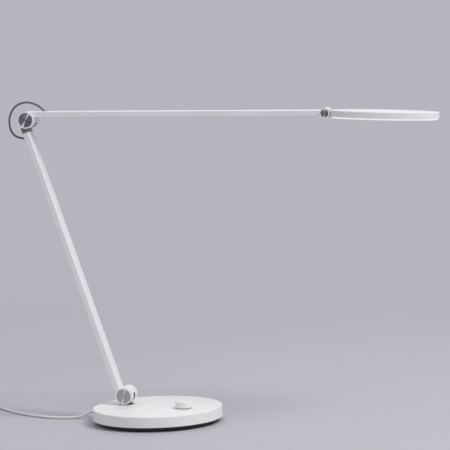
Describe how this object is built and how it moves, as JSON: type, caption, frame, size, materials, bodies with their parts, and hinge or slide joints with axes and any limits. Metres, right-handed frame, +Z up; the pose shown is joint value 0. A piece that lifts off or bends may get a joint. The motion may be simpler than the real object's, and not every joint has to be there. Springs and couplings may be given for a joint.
{
  "type": "swing arm desk lamp",
  "caption": "Slim swing arm desk lamp: round weighted base with dimmer knob, two flat tube arms on friction hinges, and a thin oval light head.",
  "frame": {"origin": "centre of the foot pad's underside, on the desk", "axes": "+X along the arms at rest, towards the lamp head; +Y to the rear; +Z up"},
  "size_m": [0.6907, 0.201, 0.4072],
  "materials": {
    "cover_white": "satin",
    "arm_white": "satin",
    "housing_white": "satin",
    "knob_white": "satin",
    "spun_aluminium": "satin",
    "satin_steel": "satin",
    "foot_rubber": "matte",
    "plate_black": "matte",
    "cast_weight": "matte",
    "screw_steel": "satin",
    "bush_white": "satin",
    "washer_nylon": "satin",
    "nut_brass": "satin",
    "circuit_green": "satin",
    "part_black": "satin",
    "encoder_grey": "satin",
    "wire_grey": "matte",
    "cable_grey": "satin",
    "cord_white": "satin",
    "grommet_grey": "matte",
    "spreader_aluminium": "satin",
    "board_white": "satin",
    "led_yellow": "gloss",
    "diffuser_opal": "satin",
    "adapter_white": "satin",
    "blade_nickel": "polished"
  },
  "bodies": {
    "base": {"foot_pad": "foot_rubber", "bottom_plate": "plate_black", "bottom_screws": "screw_steel", "base_weight": "cast_weight", "base_cover": "cover_white", "swivel_bush": "bush_white", "control_board": "circuit_green", "board_screws": "screw_steel", "board_parts": "part_black", "encoder_body": "encoder_grey", "base_wiring": "wire_grey", "cord_grommet": "grommet_grey", "cord_run": "cord_white", "cord_coil": "cord_white", "cord_tail": "cord_white", "adapter_relief": "cord_white", "adapter_body": "adapter_white", "adapter_pins": "blade_nickel"},
    "post": {"hinge_post": "satin_steel", "swivel_washer": "screw_steel", "swivel_nut": "nut_brass"},
    "lower_arm": {"base_hinge_barrel": "arm_white", "base_hinge_cap_front": "spun_aluminium", "base_hinge_cap_rear": "spun_aluminium", "base_hinge_shaft": "screw_steel", "base_hinge_friction_washers": "washer_nylon", "base_hinge_disc_springs": "screw_steel", "base_hinge_nut": "nut_brass", "lower_tube": "arm_white", "lower_wire": "wire_grey", "lower_cable_grommet": "cable_grey", "elbow_tongue": "satin_steel", "elbow_cable": "cable_grey"},
    "upper_arm": {"elbow_barrel": "arm_white", "elbow_cap_front": "spun_aluminium", "elbow_cap_rear": "spun_aluminium", "elbow_shaft": "screw_steel", "elbow_friction_washers": "washer_nylon", "elbow_disc_springs": "screw_steel", "elbow_nut": "nut_brass", "upper_tube": "arm_white", "upper_wire": "wire_grey", "upper_cable_grommet": "cable_grey", "head_hinge_barrel": "arm_white", "head_hinge_cap_front": "spun_aluminium", "head_hinge_cap_rear": "spun_aluminium", "head_hinge_shaft": "screw_steel", "head_hinge_friction_washers": "washer_nylon", "head_hinge_nut": "nut_brass"},
    "head": {"head_tongue": "satin_steel", "head_housing": "housing_white", "tongue_screws": "screw_steel", "heat_spreader": "spreader_aluminium", "led_board": "board_white", "led_screws": "screw_steel", "leds": "led_yellow", "diffuser": "diffuser_opal"},
    "encoder_rotor": {"encoder_rotor": "encoder_grey"},
    "knob": {"knob_shaft": "screw_steel", "knob_cap": "knob_white"}
  },
  "joints": [
    {"name": "base_swivel", "type": "hinge", "parent": "base", "child": "post", "pos_m": [-0.04487, 0.01678, 0.02], "axis": [0, 0, 1], "range_deg": [-80, 40]},
    {"name": "base_hinge", "type": "hinge", "parent": "post", "child": "lower_arm", "pos_m": [-0.04487, 0.01678, 0.03136], "axis": [0, 1, 0], "range_deg": [-15, 35]},
    {"name": "elbow", "type": "hinge", "parent": "lower_arm", "child": "upper_arm", "pos_m": [-0.16022, 0.01678, 0.38387], "axis": [0, 1, 0], "range_deg": [-60, 44], "deforming": ["elbow_cable"]},
    {"name": "head_tilt", "type": "hinge", "parent": "upper_arm", "child": "head", "pos_m": [0.22334, 0.01678, 0.38337], "axis": [0, 1, 0], "range_deg": [-10, 85]},
    {"name": "knob_turn", "type": "hinge", "parent": "base", "child": "encoder_rotor", "pos_m": [0.03747, -0.01401, 0.012], "axis": [0, 0, 1], "continuous": true},
    {"name": "knob_press", "type": "slide", "parent": "encoder_rotor", "child": "knob", "axis": [0, 0, -1], "range_m": [0, 0.0006], "stiffness_N_per_m": 4000, "springref_m": -0.0004}
  ]
}
